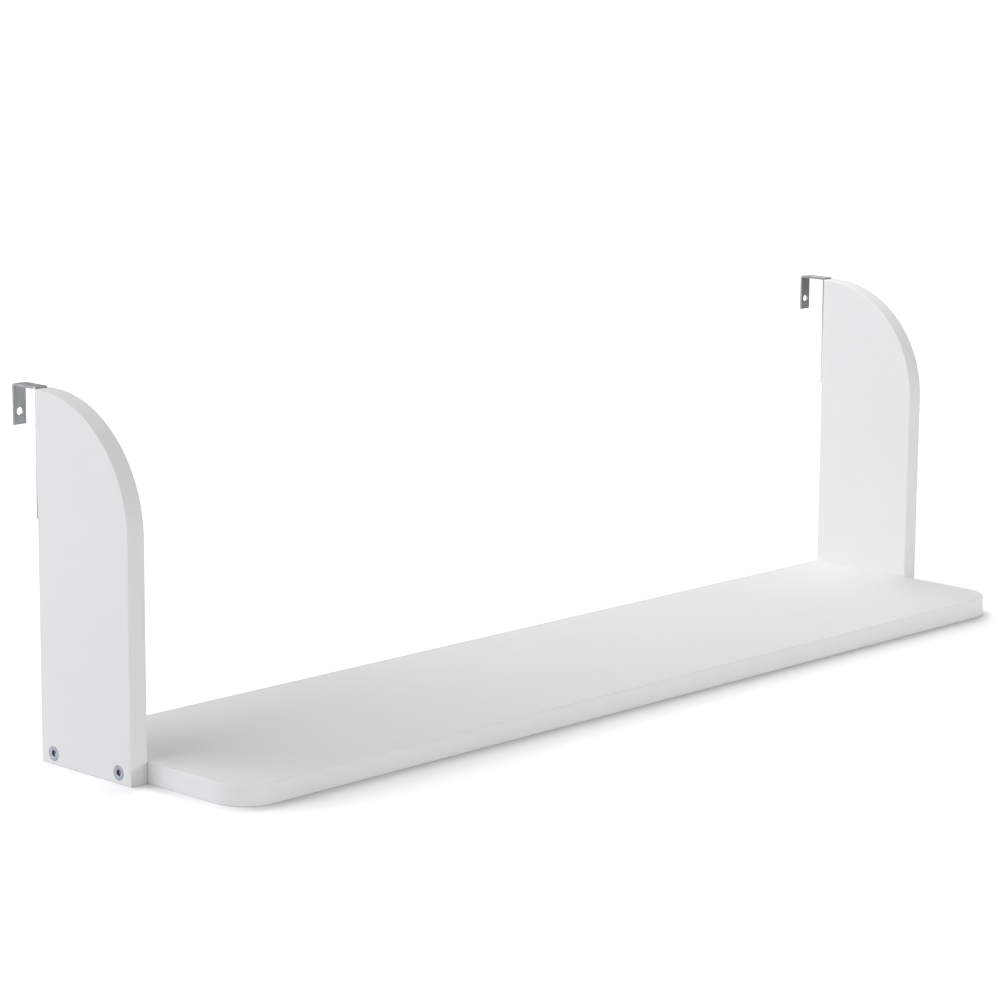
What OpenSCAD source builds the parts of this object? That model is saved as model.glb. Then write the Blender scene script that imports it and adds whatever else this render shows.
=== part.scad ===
// Hanging shelf: one board between two upright brackets, each bracket with a bent steel strap
// that hooks over a rail or a bed side.
// Origin: middle of the overall footprint, at the underside. +X to the right, +Y to the back,
// +Z up. All sizes in millimetres.

/* [Shelf board] */
// length of the board between the brackets
board_l = 966; // [400:1:1200]
// depth of the board, front to back
board_d = 220; // [150:1:300]
// thickness of the board
board_t = 18; // [15:1:25]
// radius of the two front corners, seen from above
corner_r = 32; // [5:1:60]

/* [Brackets] */
// height of a bracket
bracket_h = 300; // [220:1:400]
// depth of a bracket, front to back
bracket_d = 110; // [80:1:180]
// thickness of a bracket
bracket_t = 17; // [15:1:25]
// flat left on a bracket's top behind its quarter round
top_flat = 4; // [3:1:60]
// radius of the softened edges of board and brackets
edge_r = 1; // [0.5:0.5:4]

/* [Hooks] */
// width of the steel strap
strap_w = 12; // [10:1:14]
// thickness of the steel strap
strap_t = 2; // [2:0.5:3]
// how far both straps stand to the left of the middle of their brackets
strap_aside = 1.5; // [0:0.5:3]
// clear gap that takes the rail
hook_gap = 26; // [15:1:50]
// length of the leg that is screwed to the bracket
leg_long = 105; // [98:1:150]
// length of the leg that drops behind the rail
leg_short = 33.5; // [20:0.5:60]
// height of the strap's top over the bracket's top
hook_lift = 1.5; // [0:0.5:2]
// inside radius of the two bends, and of the corners at both free ends
bend_in = 0.5; // [0.5:0.5:3]
// hole for the securing screw in the short leg
rail_hole_d = 6.5; // [4:0.5:8]
// height of that hole's centre over the leg's end
rail_hole_up = 10.5; // [8:0.5:20]

/* [Connector bolts] */
// thread diameter of the bolts that join brackets and board
bolt_d = 6; // [5:1:8]
// length of a bolt, countersunk head included
bolt_l = 60; // [50:1:80]
// diameter of the countersunk head
bolt_head_d = 12.5; // [10:0.5:16]
// hexagon socket, across the flats
socket_af = 5; // [3:0.5:6]
// depth of the hexagon socket
socket_h = 3; // [2:0.5:4]
// chamfer at the end of the thread
bolt_end = 1; // [0.5:0.5:1.5]
// gap all round a bolt in its hole through bracket and board
bolt_play = 0.5; // [0.2:0.1:0.8]
// distance of the bolts from the front and back edges of a bracket
bolt_edge = 15; // [12:1:25]
// length of bolt that stands past the axis of its nut
bolt_past = 8; // [6:1:12]

/* [Barrel nuts and dowels] */
// diameter of a barrel nut
nut_d = 10; // [8:1:15]
// length of a barrel nut
nut_l = 14; // [12:1:16]
// width of the screwdriver slot in a barrel nut
slot_w = 1.5; // [1:0.5:2]
// depth of that slot
slot_h = 1.2; // [0.8:0.2:2]
// diameter of a wooden dowel
dowel_d = 8; // [6:1:10]
// length of a wooden dowel
dowel_l = 30; // [25:1:40]
// part of a dowel that is in the bracket
dowel_in = 10; // [8:1:12]
// distance of a dowel from the bolt beside it
dowel_step = 20; // [12:1:30]
// chamfer at the ends of a dowel
dowel_end = 1; // [0.5:0.5:2]

/* [Hook screws] */
// diameter of a wood screw
screw_d = 3.5; // [3:0.5:4]
// length of a wood screw
screw_l = 30; // [20:1:40]
// diameter of its countersunk head
screw_head_d = 7; // [6:0.5:8]
// height of the lowest screw over the end of the long leg
screw_low = 13; // [8:1:20]
// distance between neighbouring screws
screw_pitch = 35; // [20:1:38]
// length of the pointed end
screw_tip = 5; // [3:0.5:8]
// size of the cross recess, from tip to tip
recess_l = 3.8; // [3:0.2:4.4]
// width of the arms of the cross recess
recess_w = 0.9; // [0.6:0.1:1.2]
// depth of the cross recess
recess_h = 1.4; // [1:0.1:2]

/* [Hidden] */
$fn = 64;
play = 0.05;         // gap all round a seated bolt, screw, nut or dowel
cut = 1;             // how far a cutter passes a face
depth = board_d + hook_gap + 2 * strap_t;
back_y = depth / 2 - hook_gap - 2 * strap_t;
half_l = board_l / 2;
side_x = half_l + bracket_t / 2;
right_strap_x = side_x - strap_aside;
left_strap_x = -side_x - strap_aside;
mid_z = board_t / 2;
bracket_r = bracket_d - top_flat;
spring_z = bracket_h - bracket_r;
front_y = back_y - board_d;
step_y = back_y - bracket_d;
hook_top = bracket_h + hook_lift;
bend_out = bend_in + strap_t;
hook_d = hook_gap + 2 * strap_t;
long_end = hook_top - leg_long;
short_end = hook_top - leg_short;
rear_bolt_y = back_y - bolt_edge;
front_bolt_y = step_y + bolt_edge;
nut_in = bolt_l - bracket_t - bolt_past;
rear_dowel_y = rear_bolt_y - dowel_step;
front_dowel_y = front_bolt_y + dowel_step;
bolt_cone = (bolt_head_d - bolt_d) / 2;
screw_cone = (screw_head_d - screw_d) / 2;
screw_z = [for (i = [0:2]) long_end + screw_low + i * screw_pitch];

// rectangle about the origin with rounded corners
module soft_rect(w, h, r) {
    square([w, h - 2 * r], center = true);
    square([w - 2 * r, h], center = true);
    for (x = [-1, 1], y = [-1, 1])
        translate([x * (w / 2 - r), y * (h / 2 - r)]) circle(r = r);
}

// rectangle standing on the X axis with its two upper corners rounded
module arch_rect(w, h, r) {
    square([w, h - r]);
    translate([r, 0]) square([w - 2 * r, h]);
    for (x = [r, w - r]) translate([x, h - r]) circle(r = r);
}

// half of a rim section: from the axis out to r, with the two outer corners rounded
module rim_section(r, t) {
    intersection() {
        soft_rect(2 * r, t, edge_r);
        translate([0, -t]) square([r, 2 * t]);
    }
}

// cylinder along +X, starting at x = 0
module rod_x(d, l) {
    rotate([0, 90, 0]) cylinder(d = d, h = l);
}

// cylinder along +Y, starting at y = 0
module rod_y(d, l) {
    rotate([-90, 0, 0]) cylinder(d = d, h = l);
}

// everything on the right is built once and mirrored for the left
module left_side() {
    mirror([1, 0, 0]) children();
}

// ---- shelf board ------------------------------------------------------------------------

// board as it leaves the saw and router, without bores
module board_blank() {
    // rear part, square at the ends where it butts on the brackets
    translate([-half_l, 0, 0]) rotate([90, 0, 90]) linear_extrude(board_l)
        intersection() {
            translate([(front_y + back_y) / 2, mid_z]) soft_rect(board_d, board_t, edge_r);
            translate([step_y, 0]) square([bracket_d, board_t]);
        }
    // front part between the rounded corners
    translate([corner_r - half_l, 0, 0]) rotate([90, 0, 90])
        linear_extrude(board_l - 2 * corner_r)
            intersection() {
                translate([(front_y + back_y) / 2, mid_z])
                    soft_rect(board_d, board_t, edge_r);
                translate([front_y, 0]) square([board_d - bracket_d, board_t]);
            }
    // front part beside the corners, with softened ends
    translate([0, step_y, mid_z]) rotate([90, 0, 0])
        linear_extrude(board_d - bracket_d - corner_r) soft_rect(board_l, board_t, edge_r);
    // rounded corners
    for (s = [0, 1]) mirror([s, 0, 0])
        translate([half_l - corner_r, front_y + corner_r, mid_z]) rotate([0, 0, -90])
            rotate_extrude(angle = 90) rim_section(corner_r, board_t);
}

module board_bores() {
    for (y = [rear_bolt_y, front_bolt_y]) {
        translate([half_l + bracket_t - bolt_l - cut, y, mid_z])
            rod_x(bolt_d + 2 * bolt_play, bolt_l - bracket_t + 2 * cut);
        translate([half_l - nut_in, y, -cut])
            cylinder(d = nut_d + 2 * play, h = cut + mid_z + nut_l / 2 + play);
    }
    for (y = [rear_dowel_y, front_dowel_y])
        translate([half_l - dowel_l + dowel_in - play, y, mid_z])
            rod_x(dowel_d + 2 * play, dowel_l);
}

module shelf_board() {
    color([0.93, 0.93, 0.93]) difference() {
        board_blank();
        board_bores();
        left_side() board_bores();
    }
}

// ---- brackets ---------------------------------------------------------------------------

// right bracket without bores
module bracket_blank() {
    translate([side_x, back_y, 0]) {
        // straight part and the narrow strip behind the quarter round
        intersection() {
            translate([0, -bracket_d / 2, 0]) linear_extrude(bracket_h)
                soft_rect(bracket_t, bracket_d, edge_r);
            union() {
                translate([-bracket_t, -bracket_d, 0])
                    cube([2 * bracket_t, bracket_d, spring_z]);
                translate([-bracket_t, -top_flat, 0])
                    cube([2 * bracket_t, top_flat, bracket_h]);
            }
            translate([0, 0, bracket_h / 2]) rotate([90, 0, 0])
                linear_extrude(bracket_d) soft_rect(bracket_t, bracket_h, edge_r);
        }
        // quarter round
        translate([0, -top_flat, spring_z]) rotate([0, -90, 180])
            rotate_extrude(angle = 90) rim_section(bracket_r, bracket_t);
    }
}

// bores of the right bracket; x is the middle of its strap
module bracket_bores(x) {
    for (y = [rear_bolt_y, front_bolt_y]) translate([half_l, y, mid_z]) {
        translate([-cut, 0, 0]) rod_x(bolt_d + 2 * bolt_play, bracket_t + 2 * cut);
        translate([bracket_t - bolt_cone - play, 0, 0]) rotate([0, 90, 0])
            cylinder(d1 = bolt_d, d2 = bolt_head_d + 2 * play, h = bolt_cone + play);
        translate([bracket_t, 0, 0]) rod_x(bolt_head_d + 2 * play, cut);
    }
    for (y = [rear_dowel_y, front_dowel_y])
        translate([half_l - cut, y, mid_z])
            rod_x(dowel_d + 2 * play, cut + dowel_in + play);
    for (z = screw_z)
        translate([x, back_y + strap_t - screw_l, z]) rod_y(screw_d + 2 * play, screw_l);
}

module right_bracket() {
    color([0.92, 0.92, 0.93]) difference() {
        bracket_blank();
        bracket_bores(right_strap_x);
    }
}

module left_bracket() {
    color([0.92, 0.92, 0.93]) left_side() difference() {
        bracket_blank();
        bracket_bores(-left_strap_x);
    }
}

// ---- strap hooks ------------------------------------------------------------------------

// flat blank that rounds the free end of a leg; the end is at z = 0
module blade(l) {
    rotate([90, 0, 0]) mirror([0, 0, 1]) linear_extrude(hook_d / 2)
        translate([0, l]) soft_rect(strap_w, 2 * l, bend_in);
}

module hook(x) {
    color([0.66, 0.67, 0.68]) translate([x, back_y, 0]) difference() {
        intersection() {
            // bent strap seen from the side
            translate([-strap_w / 2, 0, long_end]) rotate([90, 0, 90])
                linear_extrude(strap_w) difference() {
                    arch_rect(hook_d, leg_long, bend_out);
                    translate([strap_t, -cut])
                        arch_rect(hook_gap, leg_long - strap_t + cut, bend_in);
                    translate([strap_t + hook_gap - cut, -cut])
                        square([strap_t + 2 * cut, leg_long - leg_short + cut]);
                }
            // rounded corners at both free ends
            union() {
                translate([0, 0, long_end]) blade(leg_long);
                translate([0, hook_d / 2, short_end]) blade(leg_short);
            }
        }
        // hole for the securing screw
        translate([0, strap_t + hook_gap / 2, short_end + rail_hole_up])
            rod_y(rail_hole_d, hook_gap);
        // countersunk holes for the wood screws
        for (z = screw_z) translate([0, 0, z]) {
            translate([0, -cut, 0]) rod_y(screw_d + 2 * play, strap_t + cut);
            translate([0, strap_t - screw_cone - play, 0]) rotate([-90, 0, 0])
                cylinder(d1 = screw_d, d2 = screw_head_d + 2 * play, h = screw_cone + play);
            translate([0, strap_t, 0]) rod_y(screw_head_d + 2 * play, cut);
        }
    }
}

module right_hook() {
    hook(right_strap_x);
}

module left_hook() {
    hook(left_strap_x);
}

// ---- connector bolts --------------------------------------------------------------------

// countersunk bolt, its head flush at x = 0 and its shank along -X
module bolt() {
    color([0.62, 0.66, 0.72]) difference() {
        rotate([0, -90, 0]) union() {
            cylinder(d1 = bolt_head_d, d2 = bolt_d, h = bolt_cone);
            cylinder(d = bolt_d, h = bolt_l - bolt_end);
            translate([0, 0, bolt_l - bolt_end])
                cylinder(d1 = bolt_d, d2 = bolt_d - 2 * bolt_end, h = bolt_end);
        }
        translate([-socket_h, 0, 0]) rotate([0, 90, 0])
            cylinder(d = socket_af / cos(30), h = socket_h + cut, $fn = 6);
    }
}

module right_rear_bolt() {
    translate([half_l + bracket_t, rear_bolt_y, mid_z]) bolt();
}

module right_front_bolt() {
    translate([half_l + bracket_t, front_bolt_y, mid_z]) bolt();
}

module left_rear_bolt() {
    left_side() right_rear_bolt();
}

module left_front_bolt() {
    left_side() right_front_bolt();
}

// ---- barrel nuts ------------------------------------------------------------------------

// upright barrel with the cross bore for the bolt and a slot in its lower end
module barrel_nut() {
    color([0.70, 0.70, 0.72]) translate([half_l - nut_in, 0, mid_z]) difference() {
        cylinder(d = nut_d, h = nut_l, center = true);
        translate([-nut_d, 0, 0]) rod_x(bolt_d + 2 * play, 2 * nut_d);
        translate([-nut_d, -slot_w / 2, -nut_l / 2 - cut])
            cube([2 * nut_d, slot_w, cut + slot_h]);
    }
}

module right_rear_nut() {
    translate([0, rear_bolt_y, 0]) barrel_nut();
}

module right_front_nut() {
    translate([0, front_bolt_y, 0]) barrel_nut();
}

module left_rear_nut() {
    left_side() right_rear_nut();
}

module left_front_nut() {
    left_side() right_front_nut();
}

// ---- wooden dowels ----------------------------------------------------------------------

// dowel along X with chamfered ends
module dowel() {
    color([0.80, 0.66, 0.46]) translate([half_l + dowel_in - dowel_l, 0, mid_z])
        rotate([0, 90, 0]) {
            cylinder(d1 = dowel_d - 2 * dowel_end, d2 = dowel_d, h = dowel_end);
            translate([0, 0, dowel_end]) cylinder(d = dowel_d, h = dowel_l - 2 * dowel_end);
            translate([0, 0, dowel_l - dowel_end])
                cylinder(d1 = dowel_d, d2 = dowel_d - 2 * dowel_end, h = dowel_end);
        }
}

module right_rear_dowel() {
    translate([0, rear_dowel_y, 0]) dowel();
}

module right_front_dowel() {
    translate([0, front_dowel_y, 0]) dowel();
}

module left_rear_dowel() {
    left_side() right_rear_dowel();
}

module left_front_dowel() {
    left_side() right_front_dowel();
}

// ---- hook screws ------------------------------------------------------------------------

// countersunk wood screw along -Y, its head flush with the strap, number i from below
module hook_screw(x, i) {
    color([0.70, 0.70, 0.71]) translate([x, back_y + strap_t, screw_z[i]])
        difference() {
            rotate([90, 0, 0]) union() {
                cylinder(d1 = screw_head_d, d2 = screw_d, h = screw_cone);
                cylinder(d = screw_d, h = screw_l - screw_tip);
                translate([0, 0, screw_l - screw_tip])
                    cylinder(d1 = screw_d, d2 = 0.6, h = screw_tip - play);
            }
            // cross recess
            for (a = [0, 90]) rotate([0, a, 0])
                translate([-recess_l / 2, -recess_h, -recess_w / 2])
                    cube([recess_l, recess_h + cut, recess_w]);
        }
}

module right_low_screw() {
    hook_screw(right_strap_x, 0);
}

module right_middle_screw() {
    hook_screw(right_strap_x, 1);
}

module right_top_screw() {
    hook_screw(right_strap_x, 2);
}

module left_low_screw() {
    hook_screw(left_strap_x, 0);
}

module left_middle_screw() {
    hook_screw(left_strap_x, 1);
}

module left_top_screw() {
    hook_screw(left_strap_x, 2);
}

shelf_board();
left_bracket();
right_bracket();
left_hook();
right_hook();
left_rear_bolt();
left_front_bolt();
right_rear_bolt();
right_front_bolt();
left_rear_nut();
left_front_nut();
right_rear_nut();
right_front_nut();
left_rear_dowel();
left_front_dowel();
right_rear_dowel();
right_front_dowel();
left_low_screw();
left_middle_screw();
left_top_screw();
right_low_screw();
right_middle_screw();
right_top_screw();
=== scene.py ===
import bpy, bmesh, math
from mathutils import Vector, Matrix


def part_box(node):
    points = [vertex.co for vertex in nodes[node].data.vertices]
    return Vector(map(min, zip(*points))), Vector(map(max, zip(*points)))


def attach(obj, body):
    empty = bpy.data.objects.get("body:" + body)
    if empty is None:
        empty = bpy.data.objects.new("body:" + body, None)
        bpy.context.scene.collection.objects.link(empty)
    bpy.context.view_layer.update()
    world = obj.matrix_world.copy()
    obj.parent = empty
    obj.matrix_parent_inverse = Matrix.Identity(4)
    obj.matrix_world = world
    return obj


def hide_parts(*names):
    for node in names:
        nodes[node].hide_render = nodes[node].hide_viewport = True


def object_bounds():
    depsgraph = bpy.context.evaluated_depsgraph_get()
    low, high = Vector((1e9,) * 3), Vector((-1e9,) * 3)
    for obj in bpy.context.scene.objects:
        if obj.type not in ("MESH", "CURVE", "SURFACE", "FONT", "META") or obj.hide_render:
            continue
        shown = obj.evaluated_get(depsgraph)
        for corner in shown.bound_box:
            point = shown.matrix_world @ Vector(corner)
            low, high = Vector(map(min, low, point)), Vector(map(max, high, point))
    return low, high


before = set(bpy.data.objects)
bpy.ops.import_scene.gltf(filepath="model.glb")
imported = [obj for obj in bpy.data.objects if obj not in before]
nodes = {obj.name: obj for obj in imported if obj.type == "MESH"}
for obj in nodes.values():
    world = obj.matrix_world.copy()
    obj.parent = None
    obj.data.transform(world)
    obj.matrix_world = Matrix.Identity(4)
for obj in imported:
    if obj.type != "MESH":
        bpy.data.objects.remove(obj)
cad_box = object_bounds()

# ---------------------------------------------------------------------------------------
# Shelf board. 18 mm furniture board, cut to lie between the brackets, its two front
# corners routed round and every edge eased, then sprayed satin white on all sides. It is
# drawn against the brackets by two bolts and two dowels at each end.
LACQUER_WHITE = (0.84, 0.84, 0.835)


def add_node(tree, kind, inputs, **settings):
    """Adds a node. An input takes another node's output, a number or a colour."""
    node = tree.nodes.new("ShaderNode" + kind)
    for setting, value in settings.items():
        setattr(node, setting, value)
    for socket, value in inputs.items():
        if isinstance(value, bpy.types.NodeSocket):
            tree.links.new(value, node.inputs[socket])
        else:
            node.inputs[socket].default_value = value
    return node


def noise(tree, place, scale, detail, roughness=0.5):
    return add_node(tree, "TexNoise", {"Vector": place, "Scale": scale, "Detail": detail,
                                       "Roughness": roughness}).outputs["Fac"]


def ramp(tree, value, start, end, first, second):
    """A colour that goes from the first to the second as value goes from start to end."""
    node = add_node(tree, "ValToRGB", {"Fac": value})
    low, high = node.color_ramp.elements
    low.position, high.position = start, end
    low.color, high.color = (*first, 1), (*second, 1)
    return node.outputs["Color"]


def map_range(tree, value, start, end, low=0.0, high=1.0, **settings):
    """A number that goes from low to high as value goes from start to end."""
    return add_node(tree, "MapRange", {"Value": value, "From Min": start, "From Max": end,
                                       "To Min": low, "To Max": high},
                    **settings).outputs["Result"]


def calculate(tree, operation, *terms):
    return add_node(tree, "Math", dict(enumerate(terms)), operation=operation).outputs[0]


def add_relief(tree, shader, height, strength, distance):
    """Lets a height show as fine relief of a shader's surface."""
    bump = add_node(tree, "Bump", {"Height": height, "Strength": strength,
                                   "Distance": distance})
    tree.links.new(bump.outputs["Normal"], shader.inputs["Normal"])


def new_material(name):
    """A material with its node tree, its main shader and the place on the piece."""
    mat = bpy.data.materials.new(name)
    mat.use_nodes = True
    tree = mat.node_tree
    place = add_node(tree, "TexCoord", {}).outputs["Object"]
    return mat, tree, tree.nodes["Principled BSDF"], place


def sprayed_lacquer(name, white, cloudiness, peel_height):
    """Satin lacquer: faintly cloudy film, fine orange peel, a few dust nibs, uneven gloss."""
    mat, tree, paint, place = new_material(name)
    film = noise(tree, place, 7.0, 4.0, 0.6)
    thin = [c * (1 - cloudiness) for c in white]
    tree.links.new(ramp(tree, film, 0.32, 0.68, thin, white), paint.inputs["Base Color"])
    gloss = map_range(tree, film, 0.0, 1.0, 0.40, 0.52)
    tree.links.new(gloss, paint.inputs["Roughness"])
    paint.inputs["IOR"].default_value = 1.48
    peel = noise(tree, place, 380.0, 2.5)
    nibs = add_node(tree, "TexVoronoi", {"Vector": place, "Scale": 60.0}).outputs["Distance"]
    specks = map_range(tree, nibs, 0.0, 0.03, 0.6, 0.0)
    add_relief(tree, paint, calculate(tree, "ADD", peel, specks), 0.25, peel_height)
    return mat


def finish_node(node, mat):
    """Gives a solid of the frame its finish."""
    nodes[node].data.materials.clear()
    nodes[node].data.materials.append(mat)


board_lacquer = sprayed_lacquer("board_lacquer", LACQUER_WHITE, cloudiness=0.012,
                                peel_height=0.00008)
finish_node("shelf_board", board_lacquer)

# ---------------------------------------------------------------------------------------
# Brackets. Two uprights of 17 mm furniture board with a large quarter round at the top
# front, eased edges and the same lacquer. Each is bored for two countersunk bolts at the
# foot and for two dowels; the board butts against their inner faces.
bracket_lacquer = sprayed_lacquer("bracket_lacquer", LACQUER_WHITE, cloudiness=0.015,
                                  peel_height=0.00008)
for side in ("left", "right"):
    finish_node(side + "_bracket", bracket_lacquer)

# ---------------------------------------------------------------------------------------
# Strap hooks. 12 x 2 mm zinc-plated strip steel, bent twice on a press brake into a
# hook: the long leg is screwed to the back edge of a bracket, the short leg drops behind
# the rail and has one round hole for a securing screw.


def plated_steel(name, light, dark, roughness, grain_scale, grain_along):
    """Zinc plate over drawn steel: streaks along the strip, darker blotches, fine scratches."""
    mat, tree, metal, place = new_material(name)
    metal.inputs["Metallic"].default_value = 1.0
    along = add_node(tree, "Mapping", {"Vector": place, "Scale": grain_along}).outputs["Vector"]
    blotches = noise(tree, along, grain_scale, 5.0, 0.65)
    tree.links.new(ramp(tree, blotches, 0.30, 0.70, dark, light), metal.inputs["Base Color"])
    streaks = noise(tree, along, 900.0, 3.0)
    rough = map_range(tree, streaks, 0.0, 1.0, roughness - 0.08, roughness + 0.10)
    tree.links.new(rough, metal.inputs["Roughness"])
    add_relief(tree, metal, streaks, 0.35, 0.00005)
    return mat


def mix_colour(tree, blend, share, first, second):
    """The first colour, with the second one mixed or multiplied in where the share is 1."""
    factor, under, over, result = 0, 6, 7, 2
    return add_node(tree, "Mix", {factor: share, under: first, over: (*second, 1)},
                    data_type="RGBA", blend_type=blend).outputs[result]


def paint_strap_light(mat, leg_y, painted_reflection, painted_shade, shade_centre, reach, highlight_gain):
    """Paints light and shade on the strap: a painted reflection on the sheared sides of the long
    leg, painted shade round one place, and the top and other sheared sides multiplied by a tone,
    a painted highlight where that tone is lighter."""
    tree = mat.node_tree
    base = tree.nodes["Principled BSDF"].inputs["Base Color"]
    plate = base.links[0].from_socket
    surface = add_node(tree, "NewGeometry", {})
    normal = add_node(tree, "SeparateXYZ", {0: surface.outputs["True Normal"]})
    place = add_node(tree, "SeparateXYZ", {0: surface.outputs["Position"]})

    # Painted reflection: the sheared sides of the long leg are made lighter.
    on_side = map_range(tree, calculate(tree, "ABSOLUTE", normal.outputs["X"]), 0.7, 1.0)
    on_leg = map_range(tree, place.outputs["Y"], leg_y + 0.005, leg_y + 0.002)
    reflection_share = calculate(tree, "MULTIPLY", on_side, on_leg)
    colour = mix_colour(tree, "MIX", reflection_share, plate, painted_reflection)

    # Painted shade: darkest at one place and fading out by the reach, not on faces turned up.
    distance = add_node(tree, "VectorMath", {0: surface.outputs["Position"], 1: shade_centre},
                        operation="DISTANCE").outputs["Value"]
    upright = map_range(tree, normal.outputs["Z"], 0.9, 0.3)
    shade_share = map_range(tree, distance, 0.0, reach, upright, 0.0,
                            interpolation_type="SMOOTHSTEP")
    colour = mix_colour(tree, "MULTIPLY", shade_share, colour, painted_shade)

    # Painted highlight: the top and the other sheared sides are multiplied by a tone, which is
    # lighter on the right strap.
    on_top = map_range(tree, normal.outputs["Z"], 0.7, 0.95)
    other_side = calculate(tree, "SUBTRACT", on_side, reflection_share)
    highlit_share = calculate(tree, "ADD", on_top, other_side)
    tree.links.new(mix_colour(tree, "MULTIPLY", highlit_share, colour, highlight_gain), base)


for side in ("left", "right"):
    (x0, y0, z0), (x1, y1, z1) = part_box(side + "_hook")
    strap_zinc = plated_steel(side + "_strap_zinc", (0.34, 0.355, 0.36), (0.24, 0.25, 0.255),
                              roughness=0.42, grain_scale=160.0, grain_along=(1.0, 1.0, 0.12))
    # Painted shade round the left strap's lower end, with no highlight; on the right strap
    # painted shade spread from its top, and a painted highlight on its top and other sheared
    # sides.
    if side == "left":
        shade_centre, reach, highlight_gain = ((x0 + x1) / 2, y0, z0), 0.05, (1.0, 1.0, 1.0)
    else:
        shade_centre, reach, highlight_gain = ((x0 + x1) / 2, (y0 + y1) / 2, z1), 0.10, (2.0, 1.95, 1.95)
    paint_strap_light(strap_zinc, leg_y=y0, painted_reflection=(0.54, 0.55, 0.56), painted_shade=(0.42, 0.42, 0.42),
               shade_centre=shade_centre, reach=reach, highlight_gain=highlight_gain)
    finish_node(side + "_hook", strap_zinc)

# ---------------------------------------------------------------------------------------
# Connector bolts. M6 countersunk machine bolts with a hexagon socket, bright zinc with a
# bluish cast. The head sits flush in the bracket and the thread ends in the barrel nut.


def paint_recess_shade(mat, reach):
    """Painted shade: sockets, recesses and the rim in its countersink are darkened where nearby
    surfaces close them in.
    """
    tree = mat.node_tree
    base = tree.nodes["Principled BSDF"].inputs["Base Color"]
    open_share = add_node(tree, "AmbientOcclusion", {"Distance": reach}, samples=8)
    recess_shade_share = map_range(tree, open_share.outputs["AO"], 0.25, 0.85, 1.0, 0.0)
    plate = base.links[0].from_socket
    tree.links.new(mix_colour(tree, "MULTIPLY", recess_shade_share, plate, (0.10, 0.11, 0.13)), base)


bolt_zinc = plated_steel("bolt_zinc", (0.44, 0.47, 0.52), (0.28, 0.31, 0.35),
                         roughness=0.30, grain_scale=260.0, grain_along=(0.2, 1.0, 1.0))
# Painted shade in the hexagon socket and round the rim.
paint_recess_shade(bolt_zinc, reach=0.004)


def loft(name, rings):
    """Skin over rings of points of equal count; the ends are closed to their middles."""
    bm = bmesh.new()
    rows = [[bm.verts.new(p) for p in ring] for ring in rings]
    count = len(rows[0])
    for low, high in zip(rows, rows[1:]):
        for i in range(count):
            j = (i + 1) % count
            bm.faces.new((low[i], low[j], high[j], high[i]))
    for row, first in ((rows[0], True), (rows[-1], False)):
        middle = bm.verts.new(sum((v.co for v in row), Vector()) / count)
        for i in range(count):
            j = (i + 1) % count
            bm.faces.new((row[j], row[i], middle) if first else (row[i], row[j], middle))
    bmesh.ops.recalc_face_normals(bm, faces=bm.faces)
    mesh = bpy.data.meshes.new(name)
    bm.to_mesh(mesh)
    bm.free()
    obj = bpy.data.objects.new(name, mesh)
    bpy.context.scene.collection.objects.link(obj)
    return obj


def circle(radius, z, steps):
    return [(radius * math.cos(2 * math.pi * i / steps),
             radius * math.sin(2 * math.pi * i / steps), z) for i in range(steps)]


def hexagon(flats, z, steps):
    """Points of a hexagon at even angles, so that it joins a circle of as many points."""
    ring = []
    for i in range(steps):
        angle = 2 * math.pi * i / steps
        off = (angle + math.pi / 6) % (math.pi / 3) - math.pi / 6
        reach = flats / 2 / math.cos(off)
        ring.append((reach * math.cos(angle), reach * math.sin(angle), z))
    return ring


def thread(outer, pitch, start, stop, depth, steps):
    """Rings of a screw thread from height start down to stop."""
    rows, crest, flank = 6, 0.08, 0.80    # rings a turn, and shares of half a pitch
    rings = []
    count = int(round((start - stop) / pitch * rows))
    for k in range(count + 1):
        z = start + (stop - start) * k / count
        fade = min(1.0, k / rows, (count - k) / (rows * 0.5) + 0.25)
        ring = []
        for i in range(steps):
            turn = (z / pitch + i / steps) % 1.0
            tooth = min(1.0, max(0.0, (abs(2 * turn - 1) - crest) / flank))
            radius = outer - depth * (1 - tooth) * fade
            angle = 2 * math.pi * i / steps
            ring.append((radius * math.cos(angle), radius * math.sin(angle), z))
        rings.append(ring)
    return rings


def place_piece(obj, node, turn, mat, angle=35):
    """Turns a piece built along -Z, sets it in its node's place and gives it its finish."""
    obj.data.transform(turn)
    obj.data.materials.append(mat)
    for face in obj.data.polygons:
        face.use_smooth = True
    obj.data.set_sharp_from_angle(angle=math.radians(angle))
    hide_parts(node)
    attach(obj, "root")


def seat_at_end(low, high, sign):
    """Where a piece built along -Z sits in a box, with its origin in the outer face."""
    face = high.x if sign > 0 else low.x
    return Matrix.Translation((face, (low.y + high.y) / 2, (low.z + high.z) / 2)) \
        @ Matrix.Rotation(math.radians(90 * sign), 4, "Y")


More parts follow.
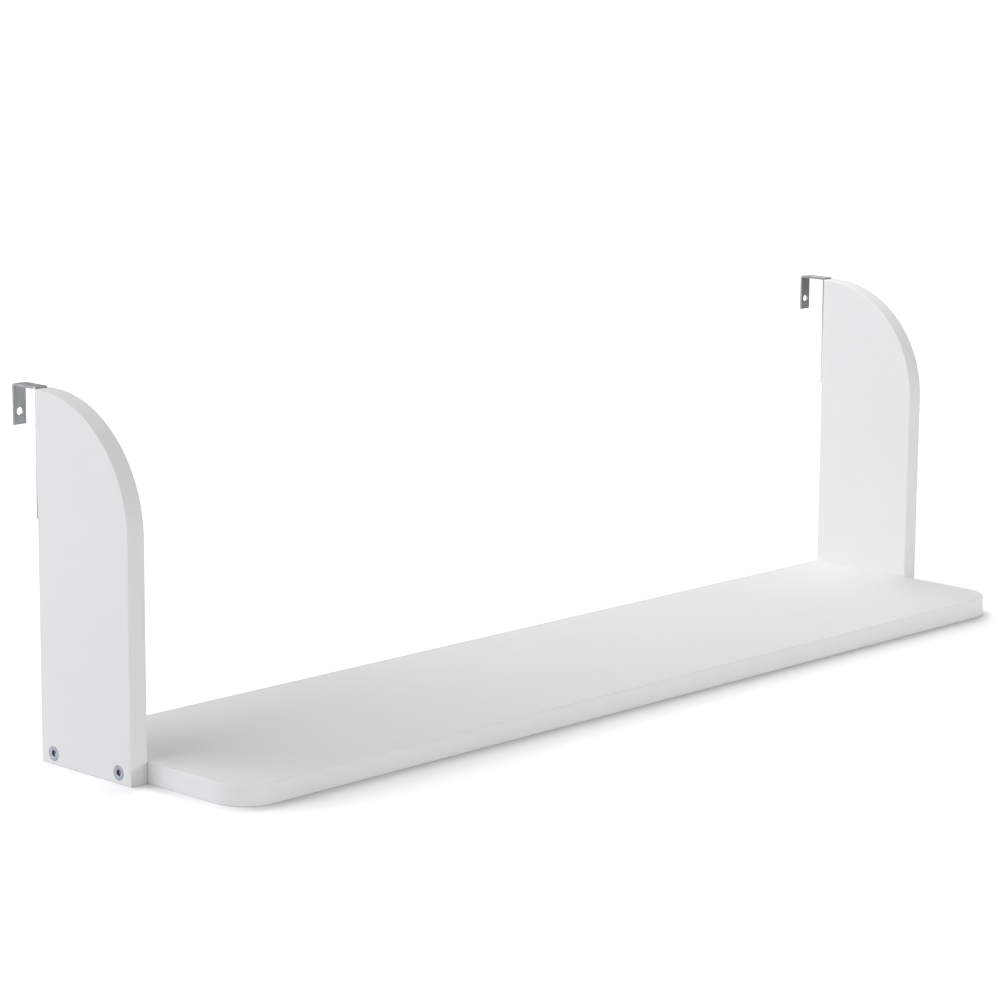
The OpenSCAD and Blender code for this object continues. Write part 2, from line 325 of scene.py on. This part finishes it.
def connector_bolt(name, length, head_d, thread_d, flats, socket):
    steps = 48
    r, head, rim = thread_d / 2, head_d / 2, 0.25e-3
    cone = (head_d - thread_d) / 2
    corners = flats / 2 * 1.155
    plain = length * 0.42
    rings = [
        # drilled floor and walls of the socket
        circle(0.3e-3, -socket - 0.9e-3, steps),
        hexagon(flats - 0.5e-3, -socket, steps),
        hexagon(flats, -socket + 0.15e-3, steps),
        hexagon(flats, -0.45e-3, steps),
        hexagon(flats + 0.10e-3, -0.36e-3, steps),
        # chamfer round the socket, and the face of the head
        circle(corners + 0.22e-3, -0.16e-3, steps),
        circle(corners + 0.42e-3, -0.10e-3, steps),
        circle(head - 2.05e-3, -0.05e-3, steps),
        circle(head - 1.75e-3, 0.0, steps),
        # rounded rim, the cone under it and the plain part of the shank
        circle(head - rim * 1.6, 0.0, steps),
        circle(head - rim * 1.15, -rim * 0.25, steps),
        circle(head - rim, -rim * 0.8, steps),
        circle(head - rim * 2.0, -rim * 2.0, steps),
        circle(r + 0.35e-3, -cone + 0.32e-3, steps),
        circle(r + 0.04e-3, -cone - 0.1e-3, steps),
        circle(r, -cone - 0.5e-3, steps),
        circle(r, -plain, steps),
    ]
    rings += thread(r, 1.0e-3, -plain - 0.1e-3, -length + 0.9e-3, 0.55e-3, steps)
    rings += [circle(r - 0.85e-3, -length + 0.1e-3, steps), circle(r - 1.0e-3, -length, steps)]
    return loft(name, rings)


for side, sign in (("left", -1), ("right", 1)):
    for row, socket_turn in (("rear", 17), ("front", 41)):
        node = f"{side}_{row}_bolt"
        low, high = (Vector(c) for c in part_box(node))
        bolt = connector_bolt(node + "_turned", high.x - low.x, high.y - low.y,
                              thread_d=6.0e-3, flats=5.0e-3, socket=2.6e-3)
        turn = seat_at_end(low, high, sign) \
            @ Matrix.Rotation(math.radians(socket_turn), 4, "Z")
        place_piece(bolt, node, turn, bolt_zinc)

# ---------------------------------------------------------------------------------------
# Barrel nuts. Turned steel barrels, 10 x 14 mm, dropped into bores in the underside of
# the board, with a cross bore for the bolt and a slot to turn it in line.
nut_zinc = plated_steel("nut_zinc", (0.62, 0.62, 0.60), (0.46, 0.46, 0.45),
                        roughness=0.34, grain_scale=300.0, grain_along=(1.0, 1.0, 0.05))
for side in ("left", "right"):
    for row in ("rear", "front"):
        finish_node(f"{side}_{row}_nut", nut_zinc)

# ---------------------------------------------------------------------------------------
# Dowels. Fluted beech, 8 x 30 mm, two at each end of the board between the bolts; a
# third of each is glued into the bracket.


def bare_beech(name):
    """Beech along X: fine dark rays and pores, pale straw ground."""
    mat, tree, wood, place = new_material(name)
    along = add_node(tree, "Mapping", {"Vector": place,
                                       "Scale": (0.08, 1.0, 1.0)}).outputs["Vector"]
    grain = noise(tree, along, 900.0, 6.0)
    straw = ramp(tree, grain, 0.34, 0.62, (0.34, 0.20, 0.10), (0.62, 0.44, 0.27))
    tree.links.new(straw, wood.inputs["Base Color"])
    rough = map_range(tree, grain, 0.0, 1.0, 0.55, 0.75)
    tree.links.new(rough, wood.inputs["Roughness"])
    add_relief(tree, wood, grain, 0.4, 0.0001)
    return mat


def fluted_dowel(name, length, diameter):
    """Round rod with straight pressed flutes and chamfered ends, built along -Z."""
    steps, flutes = 96, 16
    r = diameter / 2

    def fluted(radius, z, deep):
        ring = []
        for i in range(steps):
            wave = 0.5 - 0.5 * math.cos(2 * math.pi * flutes * i / steps)
            reach = radius - deep * wave ** 3
            angle = 2 * math.pi * i / steps
            ring.append((reach * math.cos(angle), reach * math.sin(angle), z))
        return ring

    heights = [(r - 1.0e-3, 0.0, 0.0), (r - 0.9e-3, -0.05e-3, 0.05e-3),
               (r - 0.08e-3, -0.92e-3, 0.22e-3), (r, -1.1e-3, 0.30e-3)]
    heights += [(r, -length * k / 8, 0.30e-3) for k in range(1, 8)]
    heights += [(a, -length - b, c) for a, b, c in reversed(heights[:4])]
    return loft(name, [fluted(*h) for h in heights])


beech = bare_beech("bare_beech")
for side, sign in (("left", -1), ("right", 1)):
    for row in ("rear", "front"):
        node = f"{side}_{row}_dowel"
        low, high = (Vector(c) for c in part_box(node))
        dowel = fluted_dowel(node + "_fluted", high.x - low.x, high.y - low.y)
        place_piece(dowel, node, seat_at_end(low, high, sign), beech, angle=50)

# ---------------------------------------------------------------------------------------
# Hook screws. Countersunk wood screws, 3.5 x 30 mm, with a cross recess; three hold the
# long leg of each strap to the back edge of its bracket, their heads flush in the strap.
screw_zinc = plated_steel("screw_zinc", (0.48, 0.49, 0.50), (0.33, 0.34, 0.35),
                          roughness=0.32, grain_scale=300.0, grain_along=(1.0, 0.2, 1.0))
# Painted shade in the cross recess and round the head.
paint_recess_shade(screw_zinc, reach=0.0025)


def cross(reach, half, z):
    """Outline of a cross with 24 points, in order of their angle."""
    ring = []
    for quarter in range(4):
        c, s = round(math.cos(quarter * math.pi / 2)), round(math.sin(quarter * math.pi / 2))
        points = [(reach, -half), (reach, 0.0), (reach, half), ((reach + half) / 2, half),
                  (half, half), (half, (reach + half) / 2)]
        ring += [(x * c - y * s, x * s + y * c, z) for x, y in points]
    return ring


def wood_screw(name, length, head_d, shank_d):
    """Countersunk screw along -Z, with a cross recess, a coarse thread and a point."""
    angles = [math.atan2(y, x) for x, y, _ in cross(1.0, 0.24, 0.0)]
    fine = []
    for a, b in zip(angles, angles[1:] + angles[:1]):
        b = b + 2 * math.pi if b < a else b
        fine += [a, (a + b) / 2]

    def ring(radius, z):
        return [(radius * math.cos(a), radius * math.sin(a), z) for a in fine]

    def recess(reach, half, z):
        points = cross(reach, half, z)
        both = []
        for p, q in zip(points, points[1:] + points[:1]):
            both += [p, tuple((m + n) / 2 for m, n in zip(p, q))]
        return both

    head, r = head_d / 2, shank_d / 2
    cone = head - r
    rings = [
        # floor and sloping walls of the recess
        recess(0.7e-3, 0.25e-3, -1.5e-3),
        recess(1.1e-3, 0.34e-3, -1.3e-3),
        recess(1.9e-3, 0.45e-3, -0.12e-3),
        recess(1.98e-3, 0.52e-3, -0.03e-3),
        # face, rim and cone of the head, and the neck
        ring(2.35e-3, 0.0),
        ring(head - 0.22e-3, 0.0),
        ring(head - 0.06e-3, -0.05e-3),
        ring(head, -0.13e-3),
        ring(r + 0.25e-3, -cone + 0.12e-3),
        ring(r * 0.9, -cone - 0.35e-3),
        ring(r * 0.84, -length * 0.30),
    ]
    rows, pitch, flank, core, point = 6, 1.6e-3, 0.42, 0.64, 5.0e-3
    start, stop = -length * 0.31, -length
    count = int(round((start - stop) / pitch * rows))
    for k in range(count):
        z = start + (stop - start) * k / count
        size = min(1.0, max(0.06, (z - stop) / point))
        fade = min(1.0, k / rows)
        radii = []
        for a in fine:
            turn = (z / pitch + a / (2 * math.pi)) % 1.0
            tooth = max(0.0, 1 - abs(2 * turn - 1) / flank)
            radii.append((r * core + r * (1 - core) * tooth * fade) * size)
        rings.append([(rad * math.cos(a), rad * math.sin(a), z) for rad, a in zip(radii, fine)])
    rings.append(ring(0.08e-3, stop + 0.06e-3))
    return loft(name, rings)


for side, side_turn in (("left", 20), ("right", 0)):
    for row, row_turn in (("low", 12), ("middle", 58), ("top", 33)):
        node = f"{side}_{row}_screw"
        low, high = (Vector(c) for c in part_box(node))
        screw = wood_screw(node + "_threaded", high.y - low.y, high.x - low.x,
                           shank_d=3.5e-3)
        turn = Matrix.Translation(((low.x + high.x) / 2, high.y, (low.z + high.z) / 2)) \
            @ Matrix.Rotation(math.radians(-90), 4, "X") \
            @ Matrix.Rotation(math.radians(row_turn + side_turn), 4, "Z")
        place_piece(screw, node, turn, screw_zinc)

# ---------------------------------------------------------------------------------------
# Floor. A wide white studio floor that the shelf stands on. It is no part of the shelf;
# it takes the soft shadow of the lamps under it, and a painted shadow that deepens where a piece
# touches the floor.
floor_mesh = bpy.data.meshes.new("studio_floor")
half, floor_z = 40, cad_box[0][2]
floor_mesh.from_pydata([(-half, -half, floor_z), (half, -half, floor_z),
                        (half, half, floor_z), (-half, half, floor_z)], [], [(0, 1, 2, 3)])
floor = bpy.data.objects.new("studio_floor", floor_mesh)
bpy.context.scene.collection.objects.link(floor)
floor_white = bpy.data.materials.new("floor_white")
floor_white.use_nodes = True
tree = floor_white.node_tree
tree.nodes.clear()
matt = add_node(tree, "BsdfDiffuse", {"Color": (0.82, 0.82, 0.82, 1)}).outputs[0]
spot = add_node(tree, "TexCoord", {}).outputs["Object"]

# The painted shadow is gathered from behind, and past the board's ends from their open side.
across = add_node(tree, "SeparateXYZ", {0: spot}).outputs["X"]
past_right = map_range(tree, across, 0.42, 0.49, 0.0, 2.0)
past_left = map_range(tree, across, -0.42, -0.50, 0.0, -0.35)
sideways = calculate(tree, "ADD", past_right, past_left)
open_way = add_node(tree, "CombineXYZ", {"X": sideways, "Y": 1.0, "Z": 0.3}).outputs[0]
to_open = add_node(tree, "VectorMath", {0: open_way}, operation="NORMALIZE").outputs["Vector"]
painted_shadow_ao = add_node(tree, "AmbientOcclusion", {"Distance": 0.08, "Normal": to_open}, samples=4)

# The white is lifted for the camera and for reflections, more so far from the shelf; where
# pieces close the floor in, the lift is held back, which paints the shadow.
distance = add_node(tree, "VectorMath", {0: spot}, operation="LENGTH").outputs["Value"]
sweep = map_range(tree, distance, 0.7, 2.2, 0.55, 1.05)
# Painted shadow: no lift where the floor is most closed in, full lift in the open.
lift = map_range(tree, painted_shadow_ao.outputs["AO"], 0.55, 0.92, 0.0, sweep)
seen = add_node(tree, "LightPath", {})
either = calculate(tree, "MAXIMUM", seen.outputs["Is Camera Ray"], seen.outputs["Is Glossy Ray"])
glow = add_node(tree, "Emission", {"Strength": calculate(tree, "MULTIPLY", either, lift)})
both = add_node(tree, "AddShader", {0: matt, 1: glow.outputs[0]})
add_node(tree, "OutputMaterial", {"Surface": both.outputs[0]})
floor_mesh.materials.append(floor_white)

# ---------------------------------------------------------------------------------------
# Light. A white studio with two broad soft lights, left and left behind, which the left
# bracket shades from the board, a low one in front and a small one near above the board.
studio = bpy.data.worlds.new("studio")
bpy.context.scene.world = studio
studio.use_nodes = True
tree = studio.node_tree
tree.nodes.clear()
seen = add_node(tree, "LightPath", {})
level = 0.12
for ray, white in (("Is Glossy Ray", 0.8), ("Is Transmission Ray", 0.8), ("Is Camera Ray", 1.0)):
    shown = calculate(tree, "MULTIPLY", seen.outputs[ray], white)
    level = calculate(tree, "MAXIMUM", level, shown)
sky = add_node(tree, "Background", {"Color": (1, 1, 1, 1), "Strength": level})
add_node(tree, "OutputWorld", {"Surface": sky.outputs[0]})


def softbox(name, place, aim, width, height, watts, tone=(1, 1, 1), mirrored=True):
    """A rectangular lamp with an aim. One that isn't mirrored shows in no surface."""
    lamp_data = bpy.data.lights.new(name, "AREA")
    lamp_data.shape = "RECTANGLE"
    lamp_data.size, lamp_data.size_y, lamp_data.energy = width, height, watts
    lamp_data.color = tone
    lamp = bpy.data.objects.new(name, lamp_data)
    bpy.context.scene.collection.objects.link(lamp)
    lamp.location = place
    lamp.rotation_euler = (Vector(aim) - Vector(place)).to_track_quat("-Z", "Y").to_euler()
    lamp.visible_glossy = mirrored


cool = (0.965, 0.965, 1.0)
softbox("left_softbox", (-6.0, 0.6, 3.6), (0, 0, 0.1), 4.0, 3.0, 162, cool)
softbox("left_back_softbox", (-4.0, 4.0, 3.0), (0, 0, 0.1), 4.0, 3.0, 158, cool)
softbox("low_front_softbox", (0.8, -5.5, 0.7), (0.1, 0, 0.1), 4.0, 1.2, 144, mirrored=False)
softbox("near_top_softbox", (0.45, 0.5, 1.3), (0.4, 0, 0), 0.8, 0.8, 9.8, mirrored=False)

# ---------------------------------------------------------------------------------------
# Camera. A long lens at the left front, a little above the board, aimed at the middle.
azimuth, elevation, roll = (math.radians(a) for a in (-46.137, 11.062, 0.439))
standoff, aside, higher = 2.951605, -0.054930, 0.008153
away = Vector((math.sin(azimuth) * math.cos(elevation),
               -math.cos(azimuth) * math.cos(elevation), math.sin(elevation)))
level_right = (-away).cross(Vector((0, 0, 1))).normalized()
level_up = level_right.cross(-away)
right = math.cos(roll) * level_right + math.sin(roll) * level_up
up = -math.sin(roll) * level_right + math.cos(roll) * level_up
aim = Vector((0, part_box("left_bracket")[1][1] - 0.100, 0.150))
spot = aim + standoff * away + aside * right + higher * up
lens_data = bpy.data.cameras.new("camera")
lens_data.sensor_width = 36.0
lens_data.lens = lens_data.sensor_width * 3.379460
lens_data.clip_end = 100
camera = bpy.data.objects.new("camera", lens_data)
bpy.context.scene.collection.objects.link(camera)
camera.matrix_world = Matrix(((right.x, up.x, away.x, spot.x), (right.y, up.y, away.y, spot.y),
                              (right.z, up.z, away.z, spot.z), (0, 0, 0, 1)))
bpy.context.scene.camera = camera
bpy.context.scene.view_settings.view_transform = "Standard"
